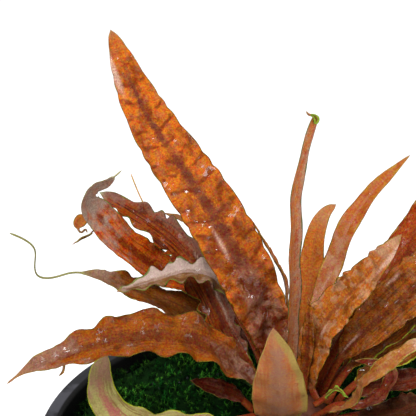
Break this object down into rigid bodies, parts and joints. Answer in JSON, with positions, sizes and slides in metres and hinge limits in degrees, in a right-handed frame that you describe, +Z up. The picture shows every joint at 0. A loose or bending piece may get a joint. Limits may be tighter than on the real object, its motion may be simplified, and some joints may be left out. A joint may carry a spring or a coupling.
{
  "type": "potted cryptocoryne albida brown",
  "caption": "Aquarium plant, Cryptocoryne albida in its brown form: narrow bronze leaves rising from a short crown among moss in a black nursery pot.",
  "frame": {"origin": "centre of the flat underside of the pot, on the surface it stands on", "axes": "+Z up along the pot's axis; -Y towards the side the plant is usually seen from; +X to the right from there"},
  "size_m": [0.1309, 0.12, 0.1811],
  "materials": {
    "pot": "scuffed satin black",
    "soil": "damp crumbly peat and grit",
    "moss": "dense soft shoots, damp",
    "crown": "dark fleshy rootstock, damp",
    "leaf_bronze": "orange bronze with dark cross marbling, wet sheen",
    "leaf_mauve": "pinkish mauve with olive margins, wet sheen",
    "leaf_dark": "dark red brown with green margins, wet sheen",
    "leaf_olive": "olive brown with green margins, wet sheen"
  },
  "bodies": {
    "root": {"pot": "pot", "soil": "soil", "moss": "moss", "crown": "crown", "leaf_arched": "leaf_bronze", "leaf_back": "leaf_bronze", "leaf_back_left": "leaf_dark", "leaf_back_right": "leaf_dark", "leaf_behind_tall": "leaf_bronze", "leaf_bright": "leaf_bronze", "leaf_broad_dark": "leaf_dark", "leaf_crinkled": "leaf_mauve", "leaf_curled_back": "leaf_dark", "leaf_curving": "leaf_bronze", "leaf_dark_back": "leaf_dark", "leaf_edge_on": "leaf_olive", "leaf_front": "leaf_bronze", "leaf_front_left": "leaf_bronze", "leaf_front_low": "leaf_bronze", "leaf_front_right": "leaf_dark", "leaf_green_edged": "leaf_olive", "leaf_green_strap": "leaf_olive", "leaf_high_right": "leaf_bronze", "leaf_hooked": "leaf_bronze", "leaf_inside_rim": "leaf_mauve", "leaf_left_front": "leaf_mauve", "leaf_low_red": "leaf_dark", "leaf_needle": "leaf_bronze", "leaf_new_curl": "leaf_olive", "leaf_right_back": "leaf_olive", "leaf_right_dark": "leaf_dark", "leaf_right_low": "leaf_dark", "leaf_right_middle": "leaf_dark", "leaf_ruffled": "leaf_dark", "leaf_short_back": "leaf_bronze", "leaf_tailed": "leaf_olive", "leaf_tall": "leaf_bronze", "leaf_twisted": "leaf_bronze", "leaf_upright": "leaf_bronze"}
  },
  "joints": []
}
